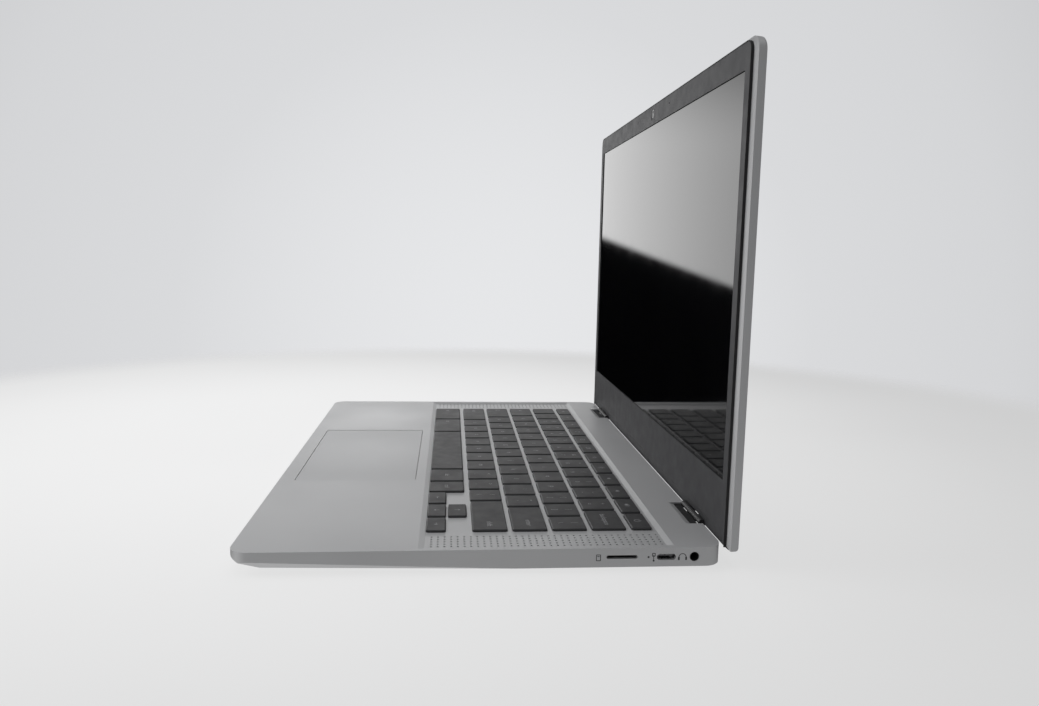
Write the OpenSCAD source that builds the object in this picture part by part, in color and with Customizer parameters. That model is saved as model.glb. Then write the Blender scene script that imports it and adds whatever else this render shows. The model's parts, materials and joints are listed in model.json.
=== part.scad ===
// Slim 14 inch laptop computer, standing open at a right angle on its four rubber feet.
// Millimetres. X to the user's right, Y away from the user, Z up; the floor is Z = 0.

/* [Base] */
// Width of the base and of the lid
body_w = 325.4; // [322:0.2:330]
// Depth of the base, front edge to rear edge
base_d = 210.9; // [208:0.1:211.5]
// Height of the base without its feet
base_h = 8.5; // [8.4:0.1:9]
// Height that the rubber feet stand out of the underside
foot_h = 1.3; // [0.8:0.1:2]
// Corner radius of the base, seen from above
corner_r = 8; // [6:0.5:9]
// Y of the base's front edge
front_y = -109; // [-110:0.5:-108]

/* [Lid] */
// Length of the lid from its lower edge to its top edge
lid_len = 217.1; // [216.5:0.1:218]
// Radius of the lid's two upper corners
lid_corner_r = 6.7; // [5:0.1:8]
// Thickness of the lid
lid_t = 6.5; // [6.4:0.1:7]
// How far the lid's lower edge drops below the deck when the lid is open
lid_drop = 2.3; // [1.8:0.1:2.4]
// Gap between the bezel and the deck when the lid is closed
closed_gap = 0.6; // [0.5:0.1:1]
// Gap between the base's rear edge and the bezel when the lid is open
rear_gap = 0.6; // [0.5:0.1:1]
// Depth of the hinge axis below the deck surface
axis_below = 0.1; // [0:0.1:0.3]

/* [Display] */
// Width of the picture area, a 14 inch panel at 16:9
screen_w = 309.4; // [300:0.1:312]
// Height of the picture area
screen_h = 174; // [168:0.1:175]
// Border between the lid's lower edge and the picture area
chin = 29.8; // [28:0.1:31]
// Distance from the lid's top edge to the middle of the camera lens
camera_inset = 6.7; // [6.6:0.1:6.9]

/* [Keyboard] */
// Distance between the middles of neighbouring letter keys
key_pitch = 19.05; // [18.8:0.05:19.1]
// Distance between the middles of neighbouring letter rows
row_pitch = 18.3; // [18.2:0.1:18.6]
// Gap between two keys in a row
key_gap = 2.35; // [2:0.05:2.6]
// Front-to-back size of a letter key
key_d = 15.9; // [15:0.1:16]
// Height of the key tops above the sheet between the keys
key_rise = 1.1; // [0.9:0.1:1.2]
// How far a key travels when it is pressed
key_travel = 1.3; // [1:0.1:1.4]
// X of the right-hand end of the keys
keys_right = 138.3; // [137:0.1:139]
// X of the left-hand end of the keys
keys_left = -134.4; // [-136:0.1:-134]
// Y of the middle of the row of keys that starts with the left shift
shift_row_y = 1.4; // [1:0.1:2]

/* [Touch pad] */
// Width of the touch pad
pad_w = 119.4; // [110:0.1:122]
// Front-to-back size of the touch pad
pad_d = 64.5; // [60:0.1:66]
// Y of the touch pad's rear edge
pad_rear_y = -35.9; // [-37:0.1:-35]

/* [Ports] */
// Height of the port centres below the deck
port_below = 4.2; // [4:0.1:4.3]
// Y of the memory card slot
card_y = 57.1; // [55:0.1:58]
// Y of the status light
led_y = 68.7; // [67:0.1:70]
// Y of the USB-C port
usb_y = 76.6; // [76:0.1:77]
// Y of the headphone jack
jack_y = 89; // [88.5:0.1:89.5]
// Radius of the headphone jack's bore
jack_r = 1.8; // [1.76:0.01:1.82]

/* [Hinges] */
// X of the middle of each hinge
hinge_x = 117; // [110:0.5:120]
// Width of the notch for each hinge in the base's rear edge
notch_w = 31.4; // [30:0.1:33]
// Depth of the notch from the base's rear edge
notch_d = 5.2; // [5:0.1:6]
// Radius of the hinge knuckles
knuckle_r = 1.5; // [1.4:0.1:1.7]
// Radius of the hinge pin
pin_r = 0.8; // [0.7:0.05:0.9]

/* [Hidden] */
$fn = 40;

// Base heights
under_z = foot_h;
deck_z = foot_h + base_h;
rear_y = front_y + base_d;
skin = 1.2;
wall = 1.5;
shut = 0.15;
cut_past = 1;

// Recess that holds the keys and the two speaker strips
recess_w = 320;
recess_front_y = -30.4;
recess_rear_y = 80.5;
recess_front_slope = 2.7;
recess_rear_slope = 2.4;
recess_side_slope = 1.3;
web_z = deck_z - key_rise;
web_t = 1.1;

// Speaker strips: holes on a square grid
hole_r = 0.55;
hole_pitch = 2.9;
strip_x = 144;
strip_front_y = -25;
strip_columns = 5;
strip_rows = 36;

// Slopes under the front and the sides
front_slope_z = deck_z - 2.7;
front_slope = 25;
side_slope_z = deck_z - 4.4;
side_slope_y = -98;
side_slope = 39.65;
side_taper = 1.66;
slope_wall = 1.3;

// Opening in the underside and its cover
cover_w = 305;
cover_front_y = -91.5;
cover_rear_y = 98.5;
cover_r = 4;
screw_x = 147;
screw_rows = [[147, -86], [66, -86], [147, 41], [90, 93.5]];
screw_head_r = 2.1;
screw_shank_r = 1.0;
screw_core_r = 0.95;
boss_r = 2.6;
screw_len = 4.6;

// Feet: [x, y, length] of the front and rear pair
foot_w = 7;
foot_sink = 0.5;
foot_rows = [[105, -76, 40], [105, 78, 56]];

// Air slots in the cover
vent_y = 50;
vent_len = 14;
vent_w = 1.6;
vent_pitch = 4.4;
vents_each_side = 10;

// Battery: a tray with a thin middle pack between two thick ones
inside_z = under_z + skin;
battery_front_y = -82;
battery_rear_y = -35;
battery_half_w = 150;
tray_z = inside_z + 0.2;
tray_t = 0.4;
cell_z = inside_z + 0.5;
cell_inset = 1;
middle_cell_x = 60;
middle_cell_top = 6.2;
side_cell_x = 65;
side_cell_top = 7.2;

// Mainboard: its rear right end carries the ports; chips are [x, y, width, depth, height]
board_z = 3;
board_t = 0.8;
board_low = [-70, 36];
board_high = [160.6, 88.5];
chips = [[-20, 44, 20, 20, 0.6], [20, 46, 12, 14, 0.5], [45, 44, 12, 8, 0.5]];

// Speakers
speaker_x = 151.2;
speaker_y = 7;
speaker_w = 16;
speaker_d = 56;
speaker_h = 4.2;

// Keys
key_clear = 0.2;
key_corner = 1.2;
key_edge = 0.35;
key_z = deck_z - 3.4;
unit_w = key_pitch - key_gap;
backspace_w = 25.05;
enter_w = 31.25;
right_shift_w = 41.1;
left_ctrl_w = 36.75;
left_alt_w = 37.65;
space_w = 91.85;
right_alt_w = 21.6;
right_ctrl_w = 16.65;
arrow_w = 17.25;
bottom_row_d = 18.1;
bottom_row_y = -18.55;
arrow_d = 8.75;
lower_arrow_y = -23.2;
upper_arrow_y = -13.3;
function_d = 9.4;
function_y = 71.7;
function_count = 12;
function_pitch = (keys_right - keys_left + key_gap) / function_count;
function_w = function_pitch - key_gap;

// A row of keys: wide key at each end and a run of unit keys between them
number_units = 12;
upper_units = 12;
home_units = 11;
lower_units = 10;

// Y of the letter row that is k rows behind the shift row
function row_y(k) = shift_row_y + k * row_pitch;
// Right edge of unit key k, counted from the wide key of width end_w at the right end
function unit_right(end_w, k) = keys_right - end_w - key_gap - k * key_pitch;

// Plate under the keys
plate_z = 4.6;
plate_t = 0.4;
plate_front_y = -28.8;
plate_rear_y = 78.2;
plate_w = 282;
plate_x = 1.4;

// Touch pad
pad_y = pad_rear_y - pad_d / 2;
pad_t = 1.2;
pad_sink = 0.12;
pad_clear = 0.3;
pad_corner = 2;
pad_border = 6;
pad_frame_z = 6.5;
pad_frame_out = 2.5;
pad_frame_in = 1.5;
pad_frame_t = 0.6;

// Ports
port_z = deck_z - port_below;
wall_x = body_w / 2;
usb_mouth_w = 8.34;
usb_mouth_h = 2.56;
usb_shell_t = 0.3;
usb_len = 7.3;
card_w = 13.6;
card_h = 1.6;
jack_len = 12;
jack_w = 6;
jack_h = 4.4;
card_socket_w = 14.8;
card_socket_h = 2.6;
card_socket_len = 13.5;

// Hinges
axis_z = deck_z - axis_below;
bezel_y = rear_y + rear_gap;
axis_y = bezel_y - (deck_z + closed_gap - axis_z);
axis_in_front = bezel_y - axis_y;
notch_front_y = rear_y - notch_d;
notch_floor_z = 5.2;
notch_slope = 2.6;
well_t = 0.8;
well_lid_low = deck_z - 1.35;
well_lid_top = deck_z - 0.75;
knuckle_half = 6;
knuckle_end = 14.6;
pin_clear = 0.03;
side_clear = 0.2;
arm_in = 3.2;
bracket_t = 1.2;
bracket_screws = [-16, 0, 18];
bracket_screw_y = 88;
bracket_front_y = 83;

// Lid, in its own frame: X across, Y up from the lower edge, Z out of the bezel face
lid_bottom_z = deck_z - lid_drop;
axis_v = axis_z - lid_bottom_z;
crest = 2.5;
chamfer_w = 2.15;
back_r = 1.6;
back_inset = 0.2;
foot_back_r = 2;
foot_wall = 0.8;
rim_sink = 1.1;
lid_skin = 1.1;
rim_w = 2.2;
bezel_t = 1.2;
bezel_inset = 2.3;
gasket_w = 0.4;
gasket_rise = 0.1;
strip_top = lid_drop + 4.5;
strip_step = 0.6;
strip_low = 1.4;
foot_slope = 2.3;
skirt_t = 0.7;
panel_t = 2.3;
panel_over = 2.2;
bezel_flange = 0.45;
foot_chamfer = 2;
camera_v = lid_len - camera_inset;
lens_r = 2.4;
dish_r = 4.1;
dish_depth = 0.4;
microphone_x = 38;
microphone_r = 0.5;
lid_screw_xs = [-10, 10];
lid_screw_vs = [10, 20];
arm_gap = 0.25;
arm_t = 1.4;
arm_front_y = bezel_y + bezel_t + arm_gap;

// ---------- shared shapes ----------

module rounded_square(w, d, r) {
    square([w - 2 * r, d], center = true);
    square([w, d - 2 * r], center = true);
    for (x = [-1, 1], y = [-1, 1]) translate([x * (w / 2 - r), y * (d / 2 - r)]) circle(r);
}

module rounded_plate(w, d, r, h) {
    linear_extrude(h) rounded_square(w, d, r);
}

// A block given by its low and high corners
module block(low, high) {
    translate(low) cube(high - low);
}

// The same thing on the left and on the right
module both_sides() {
    children();
    mirror([1, 0, 0]) children();
}

// ---------- base ----------

// Solid space on the outer side of the sloping underside, moved in by depth
module under_slopes(depth) {
    reach = 400;
    translate([0, front_y, front_slope_z]) rotate([-front_slope, 0, 0])
        translate([-reach / 2, -reach / 2, -60 + depth]) cube([reach, reach, 60]);
    both_sides() translate([wall_x, side_slope_y, side_slope_z])
        rotate([-side_taper, -side_slope, 0])
        translate([-reach / 2, -reach / 2, -60 + depth]) cube([reach, reach, 60]);
}

// Outline of the base, shrunk by inset
module base_block(inset, low, high) {
    translate([0, (front_y + rear_y) / 2, low])
        rounded_plate(body_w - 2 * inset, base_d - 2 * inset, corner_r - inset, high - low);
}

// Shape of the recess around the keys: four sloping sides and a flat floor
module recess() {
    intersection() {
        rotate([90, 0, 90]) translate([0, 0, -recess_w / 2]) linear_extrude(recess_w)
            polygon([
                [recess_front_y, deck_z], [recess_front_y + recess_front_slope, web_z],
                [recess_rear_y - recess_rear_slope, web_z], [recess_rear_y, deck_z],
                [recess_rear_y, deck_z + cut_past], [recess_front_y, deck_z + cut_past]
            ]);
        translate([0, 150, 0]) rotate([90, 0, 0]) linear_extrude(300)
            polygon([
                [-recess_w / 2, deck_z], [-recess_w / 2 + recess_side_slope, web_z],
                [recess_w / 2 - recess_side_slope, web_z], [recess_w / 2, deck_z],
                [recess_w / 2, deck_z + cut_past], [-recess_w / 2, deck_z + cut_past]
            ]);
    }
}

// Notch for one hinge, with a slope along its front edge
module notch() {
    block([hinge_x - notch_w / 2, notch_front_y, notch_floor_z],
          [hinge_x + notch_w / 2, rear_y + cut_past, deck_z + cut_past]);
    translate([hinge_x - notch_w / 2, 0, 0]) rotate([90, 0, 90]) linear_extrude(notch_w)
        polygon([
            [notch_front_y - notch_slope, deck_z], [notch_front_y + 0.2, deck_z - key_rise],
            [notch_front_y + 0.2, deck_z + cut_past], [notch_front_y - notch_slope, deck_z + cut_past]
        ]);
}

// Openings for the keys, as outlines seen from above
module key_openings() {
    every_key_place() rounded_square($key_w + 2 * key_clear, $key_d + 2 * key_clear,
                                     key_corner + key_clear);
}

module speaker_holes() {
    for (i = [0:strip_columns - 1], j = [0:strip_rows - 1])
        translate([strip_x + i * hole_pitch, strip_front_y + j * hole_pitch]) circle(hole_r, $fn = 16);
}

module screw_bosses() {
    for (p = screw_rows) both_sides() translate([p[0], p[1], under_z + skin])
        cylinder(r = boss_r, h = deck_z - skin - under_z - skin + 0.1);
    translate([0, screw_rows[3][1], under_z + skin])
        cylinder(r = boss_r, h = deck_z - skin - under_z - skin + 0.1);
}

module screw_bores() {
    for (p = screw_rows) both_sides() translate([p[0], p[1], under_z])
        cylinder(r = screw_core_r, h = screw_len + 0.6);
    translate([0, screw_rows[3][1], under_z]) cylinder(r = screw_core_r, h = screw_len + 0.6);
}

module port_openings() {
    usb_wall_w = usb_mouth_w + 0.1;
    usb_wall_h = usb_mouth_h + 0.1;
    translate([wall_x - wall - cut_past, 0, port_z]) rotate([90, 0, 90])
        linear_extrude(wall + 2 * cut_past) {
            translate([usb_y, 0]) rounded_square(usb_wall_w, usb_wall_h, usb_wall_h / 2 - 0.01);
            translate([card_y, 0.2]) rounded_square(card_w, card_h, card_h / 2 - 0.01);
            translate([led_y, 0]) circle(0.5);
            translate([jack_y, 0]) circle(jack_r + 0.3);
        }
}

module top_case() {
    color([0.72, 0.72, 0.73]) difference() {
        union() {
            difference() {
                base_block(0, under_z, deck_z);
                under_slopes(0);
                difference() {
                    base_block(wall, under_z + skin, deck_z - skin);
                    under_slopes(slope_wall);
                }
                translate([0, (cover_front_y + cover_rear_y) / 2, under_z - cut_past])
                    rounded_plate(cover_w, cover_rear_y - cover_front_y, cover_r, skin + 2 * cut_past);
            }
            block([-recess_w / 2, recess_front_y - 1, web_z - web_t],
                  [recess_w / 2, recess_rear_y + 1, deck_z - skin + 0.1]);
            both_sides() block([hinge_x - notch_w / 2 - 1, notch_front_y - 1, notch_floor_z - 1],
                               [hinge_x + notch_w / 2 + 1, rear_y - 0.5, deck_z - skin + 0.1]);
            screw_bosses();
        }
        recess();
        both_sides() notch();
        translate([0, 0, web_z - web_t - cut_past]) linear_extrude(web_t + 2 * cut_past) {
            key_openings();
            speaker_holes();
            mirror([1, 0]) speaker_holes();
        }
        translate([0, pad_y, deck_z - 2 * skin])
            rounded_plate(pad_w + 2 * pad_clear, pad_d + 2 * pad_clear, pad_corner + pad_clear, 3 * skin);
        both_sides() tongue_space(0.15);
        screw_bores();
        port_openings();
    }
}

module bottom_cover() {
    color([0.66, 0.66, 0.67]) difference() {
        translate([0, (cover_front_y + cover_rear_y) / 2, under_z])
            rounded_plate(cover_w - 2 * shut, cover_rear_y - cover_front_y - 2 * shut,
                          cover_r - shut, skin - 0.05);
        screw_places() {
            translate([0, 0, -0.1]) cylinder(r = screw_head_r + 0.15, h = 0.7 + 0.1);
            cylinder(r = screw_shank_r + 0.15, h = 3);
        }
        for (x = [-1, 1], y = foot_rows) translate([x * y[0], y[1], under_z - 0.1])
            rounded_plate(y[2] + 0.1, foot_w + 0.1, foot_w / 2, foot_sink + 0.1);
        for (i = [-vents_each_side:vents_each_side]) translate([i * vent_pitch, vent_y, under_z - 0.1])
            rounded_plate(vent_w, vent_len, vent_w / 2 - 0.01, skin + 1);
    }
}

// Every screw of the underside, at the bottom face
module screw_places() {
    for (p = screw_rows) both_sides() translate([p[0], p[1], under_z]) children();
    translate([0, screw_rows[3][1], under_z]) children();
}

module bottom_screws() {
    color([0.3, 0.3, 0.31]) screw_places() difference() {
        union() {
            translate([0, 0, 0.1]) cylinder(r = screw_head_r, h = 0.6);
            translate([0, 0, 0.6]) cylinder(r = screw_core_r, h = screw_len - 0.6);
        }
        translate([0, 0, 0.05]) for (a = [0, 90]) rotate([0, 0, a])
            translate([-1, -0.2, 0]) cube([2, 0.4, 0.35]);
    }
}

// One foot; row is its [x, y, length]
module foot(side, row) {
    color([0.1, 0.1, 0.1]) translate([side * row[0], row[1], 0])
        rounded_plate(row[2], foot_w, foot_w / 2 - 0.05, foot_h + foot_sink);
}

module keyboard_plate() {
    color([0.3, 0.3, 0.32]) difference() {
        translate([plate_x, (plate_front_y + plate_rear_y) / 2, plate_z])
            rounded_plate(plate_w, plate_rear_y - plate_front_y, 2, web_z - web_t - plate_z);
        translate([plate_x, (plate_front_y + plate_rear_y) / 2, plate_z + plate_t])
            rounded_plate(plate_w - 1.6, plate_rear_y - plate_front_y - 1.6, 1.2, 5);
        screw_places() cylinder(r = boss_r + 0.3, h = 8);
    }
}

module trackpad() {
    pad_z = deck_z - pad_sink - pad_t;
    color([0.72, 0.72, 0.73]) difference() {
        translate([0, pad_y, pad_z]) rounded_plate(pad_w, pad_d, pad_corner, pad_t);
        translate([0, pad_y, pad_z - 0.1])
            rounded_plate(pad_w - 2 * pad_border, pad_d - 2 * pad_border, 1, 0.4);
    }
}

// Shallow tray under the touch pad
module trackpad_bracket() {
    color([0.55, 0.55, 0.57]) difference() {
        translate([0, pad_y, pad_frame_z])
            rounded_plate(pad_w + 2 * pad_frame_out, pad_d + 2 * pad_frame_out, 2,
                          deck_z - skin - pad_frame_z);
        translate([0, pad_y, pad_frame_z + pad_frame_t])
            rounded_plate(pad_w + 2 * pad_frame_in, pad_d + 2 * pad_frame_in, 1.5, 5);
    }
}

module battery() {
    front = battery_front_y + cell_inset;
    rear = battery_rear_y - cell_inset;
    color([0.12, 0.12, 0.13]) {
        block([-battery_half_w, battery_front_y, tray_z],
              [battery_half_w, battery_rear_y, tray_z + tray_t]);
        block([-middle_cell_x, front, cell_z], [middle_cell_x, rear, middle_cell_top]);
        both_sides() block([side_cell_x, front, cell_z],
                           [battery_half_w - cell_inset, rear, side_cell_top]);
    }
}

module mainboard() {
    top = board_z + board_t;
    color([0.1, 0.28, 0.16]) difference() {
        union() {
            block(concat(board_low, board_z), concat(board_high, top));
            for (c = chips) translate([c[0], c[1], top - 0.1]) cube([c[2], c[3], c[4] + 0.1]);
        }
        block([wall_x - jack_len - 3.3, jack_y - 4, 0], [wall_x, jack_y + 4, deck_z]);
        screw_places() cylinder(r = boss_r + 0.4, h = base_h);
    }
}

// Closed box with a raised, hollow diaphragm under the speaker holes
module speaker() {
    low = inside_z + 0.4;
    translate([speaker_x, speaker_y, low]) color([0.13, 0.13, 0.14]) difference() {
        union() {
            rounded_plate(speaker_w, speaker_d, 2, speaker_h);
            translate([0, 0, speaker_h - 0.1]) rounded_plate(speaker_w - 4, speaker_d - 26, 4, 0.45);
        }
        translate([0, 0, speaker_h + 0.05]) rounded_plate(speaker_w - 7, speaker_d - 30, 3, 1);
    }
}

// Metal shell with a contact tongue inside and two solder legs
module usb_c_port() {
    outer_w = usb_mouth_w + 2 * usb_shell_t;
    outer_h = usb_mouth_h + 2 * usb_shell_t;
    tongue_w = 6.7;
    tongue_t = 0.7;
    color([0.55, 0.55, 0.57]) translate([wall_x - wall - 0.05 - usb_len, usb_y, port_z])
        rotate([90, 0, 90]) {
            difference() {
                linear_extrude(usb_len) rounded_square(outer_w, outer_h, outer_h / 2 - 0.01);
                translate([0, 0, 1]) linear_extrude(usb_len)
                    rounded_square(usb_mouth_w, usb_mouth_h, usb_mouth_h / 2 - 0.01);
            }
            translate([-tongue_w / 2, -tongue_t / 2, 0.5]) cube([tongue_w, tongue_t, usb_len - 1.5]);
            for (x = [-3.6, 2.4]) translate([x, board_z + board_t - port_z, 1]) cube([1.2, 1, 4]);
        }
}

// Open metal shell on four short legs
module card_socket() {
    shell_t = 0.55;
    leg = 1.5;
    color([0.6, 0.6, 0.62]) translate([wall_x - wall - 0.1 - card_socket_len, card_y, port_z + 0.2]) {
        difference() {
            translate([0, -card_socket_w / 2, -card_socket_h / 2])
                cube([card_socket_len, card_socket_w, card_socket_h]);
            translate([leg, shell_t + 0.15 - card_socket_w / 2, shell_t - card_socket_h / 2])
                cube([card_socket_len, card_socket_w - 2 * shell_t - 0.3, card_socket_h - 2 * shell_t]);
        }
        for (y = [-7, 5.5], x = [1, 10]) translate([x, y, board_z + board_t - port_z - 0.2])
            cube([leg, leg, 1.2]);
    }
}

module audio_jack() {
    color([0.08, 0.08, 0.09]) translate([wall_x - wall - 0.1, jack_y, port_z]) rotate([0, -90, 0])
        difference() {
            union() {
                translate([-jack_h / 2, -jack_w / 2, 0]) cube([jack_h, jack_w, jack_len]);
                translate([0, 0, -wall + 0.2]) cylinder(r = jack_r + 0.25, h = wall);
            }
            translate([0, 0, -wall]) cylinder(r = jack_r, h = jack_len + wall - 1);
        }
}

// Light pipe with a wider lamp behind the wall
module status_led() {
    pipe_len = 3.95;
    color([0.85, 0.85, 0.8]) translate([wall_x - 0.05 - pipe_len, led_y, port_z]) rotate([0, 90, 0]) {
        cylinder(r = 0.45, h = pipe_len);
        translate([0, 0, -1]) cylinder(r = 1.2, h = 3);
    }
}

// ---------- hinges ----------

module along_axis(from, to, r) {
    translate([hinge_x + from, axis_y, axis_z]) rotate([0, 90, 0]) cylinder(r = r, h = to - from);
}

// Black lining of one notch, with a cover over its front part
module hinge_well() {
    half = notch_w / 2 - 0.05;
    color([0.07, 0.07, 0.08]) block([hinge_x - half, notch_front_y + 0.05, well_lid_low],
                                    [hinge_x + half, axis_y - knuckle_r - 0.2, well_lid_top]);
    color([0.07, 0.07, 0.08]) difference() {
        block([hinge_x - half, notch_front_y + 0.05, notch_floor_z + 0.05],
              [hinge_x + half, rear_y - 0.1, deck_z - 1.15]);
        block([hinge_x - half + well_t, notch_front_y + well_t, notch_floor_z + well_t],
              [hinge_x + half - well_t, rear_y + 1, deck_z + 1]);
        tongue_space(0.15);
    }
}

// Tongue that carries the middle knuckle out of the base, grown by gap for the slot that it runs in
module tongue_space(gap) {
    top = deck_z - skin - 0.2;
    block([hinge_x - knuckle_half - gap, notch_front_y - 1.5 - gap, deck_z - skin - bracket_t - gap],
          [hinge_x + knuckle_half + gap, axis_y, top + gap]);
}

// Steel bracket in the base that carries the middle knuckle
module hinge_bracket() {
    plate_top = deck_z - skin;
    color([0.1, 0.1, 0.11]) difference() {
        union() {
            block([hinge_x - 21, bracket_front_y, plate_top - bracket_t],
                  [hinge_x + 24, notch_front_y - 1.2, plate_top]);
            tongue_space(0);
            along_axis(-knuckle_half, knuckle_half, knuckle_r);
        }
        along_axis(-knuckle_half - 1, knuckle_half + 1, pin_r + pin_clear);
        for (x = bracket_screws) translate([hinge_x + x, bracket_screw_y, 0]) cylinder(r = 0.85, h = 20);
    }
}

module hinge_screws() {
    color([0.45, 0.45, 0.46]) both_sides() for (x = bracket_screws)
        translate([hinge_x + x, bracket_screw_y, deck_z - skin - bracket_t]) {
            cylinder(r = 0.8, h = bracket_t);
            translate([0, 0, -0.6]) cylinder(r = 1.6, h = 0.6);
        }
}

module hinge_pin() {
    color([0.6, 0.6, 0.62]) along_axis(-knuckle_end + 0.3, knuckle_end - 0.3, pin_r);
}

// Steel arm in the lid with the two outer knuckles
module lid_arm() {
    arm_rear_y = arm_front_y + arm_t;
    color([0.1, 0.1, 0.11]) difference() {
        union() {
            for (side = [-1, 1]) {
                low = side > 0 ? knuckle_half + side_clear : -knuckle_end;
                high = side > 0 ? knuckle_end : -knuckle_half - side_clear;
                along_axis(low, high, knuckle_r);
                block([hinge_x + low, axis_y, axis_z - knuckle_r + 0.2],
                      [hinge_x + high, arm_rear_y, axis_z + knuckle_r - 0.1]);
                block([hinge_x + low, arm_front_y, axis_z - 0.5], [hinge_x + high, arm_rear_y, axis_z + 5]);
            }
            block([hinge_x - knuckle_end, arm_front_y, axis_z + 3],
                  [hinge_x + knuckle_end, arm_rear_y, lid_bottom_z + chin - 5]);
        }
        along_axis(-knuckle_end - 1, knuckle_end + 1, pin_r);
        for (x = lid_screw_xs, z = lid_screw_vs) translate([hinge_x + x, arm_front_y - 1, lid_bottom_z + z])
            rotate([-90, 0, 0]) cylinder(r = 0.85, h = 5);
    }
}

// ---------- lid ----------

module lid_place() {
    translate([0, bezel_y, lid_bottom_z]) rotate([90, 0, 0]) children();
}

// Section of the lid cover across its thickness, half_w from the middle to the crest of the side
module lid_section(half_w) {
    polygon([
        [-half_w + chamfer_w, -rim_sink], [half_w - chamfer_w, -rim_sink], [half_w, -crest],
        [half_w - back_inset, -lid_t + back_r], [-half_w + back_inset, -lid_t + back_r], [-half_w, -crest]
    ]);
    translate([-half_w + back_inset + back_r, -lid_t])
        square([2 * (half_w - back_inset - back_r), back_r + 0.1]);
    for (s = [-1, 1]) translate([s * (half_w - back_inset - back_r), -lid_t + back_r]) circle(back_r);
}

// Full lid with shaped edges, round upper corners and square lower corners
module lid_solid() {
    w = body_w / 2;
    for (x = [-w + lid_corner_r, w - lid_corner_r])
        translate([x, lid_len - lid_corner_r, 0]) rotate_extrude($fn = 96) intersection() {
            lid_section(lid_corner_r);
            translate([0, -lid_t - 1]) square([lid_corner_r + 1, lid_t + 2]);
        }
    translate([0, lid_len - lid_corner_r, 0]) rotate([90, 0, 0]) linear_extrude(lid_len - lid_corner_r)
        lid_section(w);
    translate([-w + lid_corner_r, lid_len / 2, 0]) rotate([90, 0, 90])
        linear_extrude(body_w - 2 * lid_corner_r) lid_section(lid_len / 2);
}

// Sweeps a section drawn in (height along the lid, depth) over half_w to the left and to the right
module across_lid(half_w) {
    rotate([90, 0, 90]) translate([0, 0, -half_w]) linear_extrude(2 * half_w) children();
}

// What the chamfer along the lower front edge takes off the rim, and the room for the bezel's skirt
module lid_foot_chamfer() {
    across_lid(body_w) polygon([
        [foot_chamfer, -rim_sink], [-0.05, -crest], [-1, -crest], [-1, 2], [foot_chamfer, 2]
    ]);
    across_lid(wall_x - rim_w) polygon([
        [strip_low + 0.2, 2], [strip_low + 0.2, -bezel_t - 0.1],
        [-0.05, -foot_slope - skirt_t - 0.05], [-1, -foot_slope - skirt_t - 0.05], [-1, 2]
    ]);
}

// What the shallow strip and the steep lower edge take off the bezel
module lid_foot_cut() {
    across_lid(wall_x - rim_w) polygon([
        [strip_top, 0], [strip_low, -strip_step], [-0.05, -foot_slope],
        [-3, -foot_slope], [-3, 2], [strip_top, 2]
    ]);
}

// What the rounded lower rear edge takes off
module lid_back_cut() {
    across_lid(body_w) difference() {
        translate([-1, -lid_t - 1]) square(foot_back_r + 1);
        translate([foot_back_r, foot_back_r - lid_t]) circle(foot_back_r);
    }
}

// Room in the lid for the knuckles
module knuckle_room(depth) {
    both_sides() block([hinge_x - knuckle_end - 0.4, -1, -depth],
                       [hinge_x + knuckle_end + 0.4, axis_v + knuckle_r + 0.1, 2]);
}

// Outline that follows the lid's sides and top at inset, and runs straight down to its foot
module lid_outline(inset) {
    w = body_w - 2 * inset;
    translate([0, lid_len / 2]) rounded_square(w, lid_len - 2 * inset, lid_corner_r - inset);
    translate([-w / 2, 0]) square([w, lid_len / 2]);
}

module lid_cover() {
    color([0.7, 0.7, 0.71]) lid_place() difference() {
        lid_solid();
        translate([0, 0, -lid_t + lid_skin]) linear_extrude(lid_t) difference() {
            lid_outline(rim_w);
            translate([-body_w, 0]) square([2 * body_w, foot_wall]);
        }
        lid_foot_chamfer();
        lid_back_cut();
        knuckle_room(arm_in + 0.6);
    }
}

module bezel() {
    color([0.2, 0.2, 0.21]) lid_place() difference() {
        union() {
            translate([0, 0, -bezel_t]) linear_extrude(bezel_t) lid_outline(bezel_inset);
            across_lid(wall_x - bezel_inset) polygon([
                [strip_low, -strip_step], [0, -foot_slope + 0.1], [0, -foot_slope - skirt_t + 0.05],
                [strip_low + 0.05, -bezel_t - 0.15]
            ]);
        }
        translate([0, chin + screen_h / 2, -5]) rounded_plate(screen_w, screen_h, 0.5, 10);
        translate([0, chin + screen_h / 2, -5 - bezel_flange]) panel_outline(0.1, 5);
        lid_foot_cut();
        knuckle_room(arm_in);
        translate([0, camera_v, -5]) cylinder(r = lens_r + 0.1, h = 10);
        translate([0, camera_v, -dish_depth])
            cylinder(r1 = lens_r + 0.1, r2 = dish_r, h = dish_depth + 0.01);
        both_sides() translate([microphone_x, camera_v, -5]) cylinder(r = microphone_r, h = 10, $fn = 20);
    }
}

module lid_gasket() {
    inner_inset = bezel_inset - 0.05;
    color([0.05, 0.05, 0.05]) lid_place() difference() {
        translate([0, 0, -rim_sink]) linear_extrude(rim_sink + gasket_rise)
            lid_outline(inner_inset - gasket_w);
        translate([0, 0, -2]) linear_extrude(4) lid_outline(inner_inset);
        translate([-body_w, -5, -5]) cube([2 * body_w, 5 + strip_low, 10]);
    }
}

// Plate with the outline of the display panel, grown by gap
module panel_outline(gap, h) {
    rounded_plate(screen_w + 2 * (panel_over + gap), screen_h + 2 * (panel_over + gap), 1 + gap, h);
}

module display_panel() {
    color([0.03, 0.03, 0.035]) lid_place()
        translate([0, chin + screen_h / 2, -bezel_flange - 0.05 - panel_t]) panel_outline(0, panel_t);
}

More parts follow.
